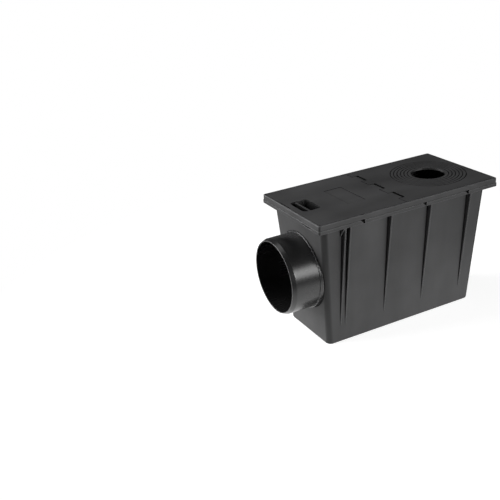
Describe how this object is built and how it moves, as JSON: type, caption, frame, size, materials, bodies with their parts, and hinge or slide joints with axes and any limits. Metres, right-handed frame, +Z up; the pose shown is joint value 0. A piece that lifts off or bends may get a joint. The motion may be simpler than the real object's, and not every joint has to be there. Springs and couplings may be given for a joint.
{
  "type": "rainwater silt trap",
  "caption": "Tapered box-shaped rainwater silt trap with a side pipe outlet, a hinged inspection lid, an inlet cover with a round hole and a lift-out strainer plate.",
  "frame": {"origin": "centre of the box's flat underside, on the ground it stands on", "axes": "+Z up, +X from the outlet spigot towards the inlet end, +Y across the width"},
  "size_m": [0.3304, 0.155, 0.197],
  "materials": {
    "box_plastic": "fine textured black polypropylene",
    "spigot_plastic": "smooth black polypropylene with a soft sheen",
    "cover_plastic": "fine textured black polypropylene",
    "lid_plastic": "fine textured black polypropylene",
    "strainer_plastic": "smooth black polypropylene sheet"
  },
  "bodies": {
    "box": {"trap_box": "box_plastic", "outlet_spigot": "spigot_plastic", "inlet_cover": "cover_plastic"},
    "lid": {"inspection_lid": "lid_plastic"},
    "strainer": {"strainer_plate": "strainer_plastic"}
  },
  "joints": [
    {"name": "lid_hinge", "type": "hinge", "parent": "box", "child": "lid", "pos_m": [-0.0033, 0, 0.193], "axis": [0, 1, 0], "range_deg": [0, 99]},
    {"name": "strainer_lift", "type": "slide", "parent": "box", "child": "strainer", "axis": [0, 0, 1], "range_m": [0, 0.165]}
  ],
  "couplings": [
    {"joint": "strainer_lift", "follows": "lid_hinge", "m_per_rad": 0.0954}
  ]
}
